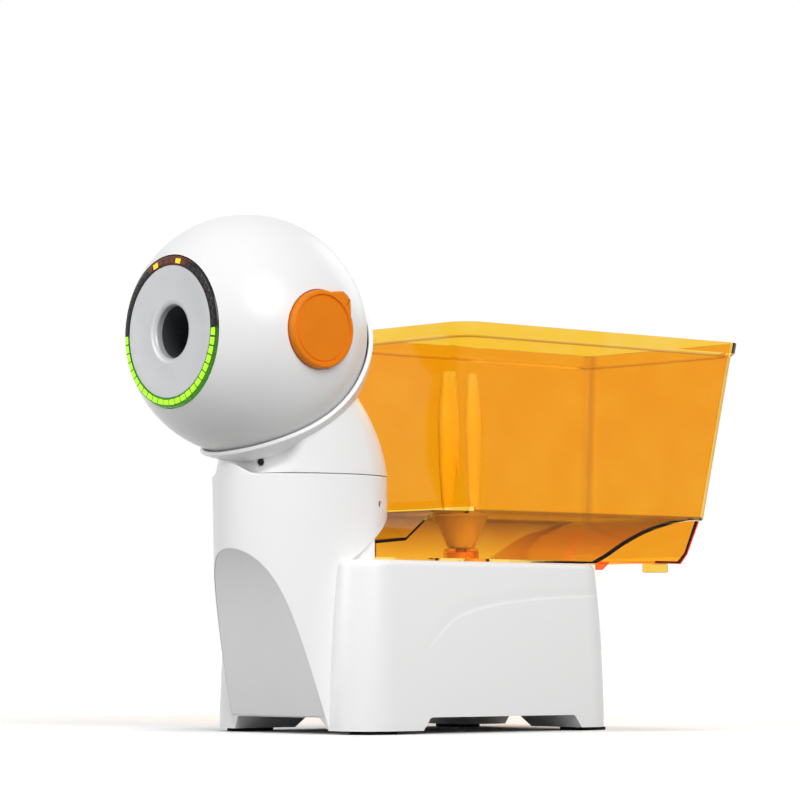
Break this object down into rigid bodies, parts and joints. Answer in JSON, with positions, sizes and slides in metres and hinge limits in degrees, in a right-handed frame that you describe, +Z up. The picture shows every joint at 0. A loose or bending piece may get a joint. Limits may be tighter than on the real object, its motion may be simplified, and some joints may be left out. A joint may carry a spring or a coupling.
{
  "type": "table tennis robot",
  "caption": "White table tennis robot: a round ball thrower with a lit ring round its muzzle on a column, and a translucent orange ball hopper behind it on a box-shaped base.",
  "frame": {"origin": "centre of the bounding box's footprint on the floor, under the rubber feet", "axes": "-Y is where the muzzle points, +Y the hopper end, +X the robot's own left with the orange knob, +Z up"},
  "size_m": [0.21, 0.577, 0.431],
  "materials": {
    "shell_white": "glossy white moulded plastic",
    "cover_grey": "satin light grey moulded plastic",
    "face_silver": "satin silver-grey plastic",
    "lens_smoked": "smoked clear lens over the lamps",
    "knob_orange": "soft satin orange plastic",
    "bin_orange": "translucent orange plastic",
    "fitting_black": "matte black plastic",
    "rubber_black": "soft black rubber",
    "inner_grey": "dark grey moulded plastic",
    "steel": "bare steel",
    "board_green": "green circuit board",
    "nylon": "natural nylon"
  },
  "bodies": {
    "base": {"base_shell": "shell_white", "front_panel": "cover_grey", "bottom_cover": "cover_grey", "rubber_foot_front_left": "rubber_black", "rubber_foot_front_right": "rubber_black", "rubber_foot_back_left": "rubber_black", "rubber_foot_back_right": "rubber_black", "control_board": "board_green", "power_switch_bezel": "fitting_black", "dc_inlet": "fitting_black", "feed_tube": "inner_grey", "drive_bracket": "steel", "feed_motor": "steel", "pan_bearing": "nylon", "pan_bracket": "steel", "pan_motor": "steel"},
    "neck": {"neck_shell": "shell_white", "pan_ring_gear": "nylon", "head_yoke": "inner_grey", "tilt_stud": "steel", "tilt_pin": "steel"},
    "head": {"head_shell": "shell_white", "face_ring": "lens_smoked", "led_board": "board_green", "face_plate": "face_silver", "throwing_chassis": "inner_grey", "upper_wheel_motor": "steel", "lower_wheel_motor": "steel", "pivot_cap": "shell_white"},
    "knob": {"tilt_knob": "knob_orange"},
    "wheel_upper": {"upper_wheel_hub": "nylon", "upper_wheel_tyre": "rubber_black"},
    "wheel_lower": {"lower_wheel_hub": "nylon", "lower_wheel_tyre": "rubber_black"},
    "pan_drive": {"pan_pinion": "nylon"},
    "feed_drive": {"drive_boss": "shell_white", "drive_gear": "nylon"},
    "feed_input": {"drive_pinion": "nylon"},
    "hopper": {"hopper_bin": "bin_orange", "hopper_skirt": "bin_orange"},
    "stirrer": {"agitator": "cover_grey"},
    "rocker": {"power_rocker": "fitting_black"}
  },
  "joints": [
    {"name": "head_pan", "type": "hinge", "parent": "base", "child": "neck", "pos_m": [0, -0.14955, 0.214], "axis": [0, 0, 1], "range_deg": [-18, 18]},
    {"name": "head_tilt", "type": "hinge", "parent": "neck", "child": "head", "pos_m": [0, -0.20755, 0.329], "axis": [-1, 0, 0], "range_deg": [-10, 15]},
    {"name": "knob_turn", "type": "hinge", "parent": "head", "child": "knob", "pos_m": [0.0975, -0.20755, 0.329], "axis": [1, 0, 0], "range_deg": [-45, 45]},
    {"name": "wheel_upper_spin", "type": "hinge", "parent": "head", "child": "wheel_upper", "pos_m": [0, -0.23555, 0.3745], "axis": [1, 0, 0], "continuous": true},
    {"name": "wheel_lower_spin", "type": "hinge", "parent": "head", "child": "wheel_lower", "pos_m": [0, -0.23555, 0.2835], "axis": [1, 0, 0], "continuous": true},
    {"name": "pan_pinion_turn", "type": "hinge", "parent": "base", "child": "pan_drive", "pos_m": [-0.04818, -0.14955, 0.201], "axis": [0, 0, 1], "range_deg": [-80, 80]},
    {"name": "feed_spin", "type": "hinge", "parent": "base", "child": "feed_drive", "pos_m": [0, 0.03245, 0.123], "axis": [0, 0, 1], "continuous": true},
    {"name": "feed_pinion_spin", "type": "hinge", "parent": "base", "child": "feed_input", "pos_m": [0, 0.07422, 0.123], "axis": [0, 0, 1], "continuous": true},
    {"name": "hopper_tip", "type": "hinge", "parent": "base", "child": "hopper", "pos_m": [0, -0.11755, 0.16], "axis": [1, 0, 0], "range_deg": [0, 6]},
    {"name": "stirrer_spin", "type": "hinge", "parent": "hopper", "child": "stirrer", "pos_m": [0, 0.03245, 0.158], "axis": [0, 0, 1], "continuous": true},
    {"name": "rocker_press", "type": "hinge", "parent": "base", "child": "rocker", "pos_m": [-0.046, 0.11813, 0.062], "axis": [1, 0, 0], "range_deg": [-8, 8]}
  ],
  "couplings": [
    {"joint": "pan_pinion_turn", "follows": "head_pan", "ratio": -4},
    {"joint": "feed_pinion_spin", "follows": "feed_spin", "ratio": -3.3333},
    {"joint": "stirrer_spin", "follows": "feed_spin", "ratio": 1}
  ]
}
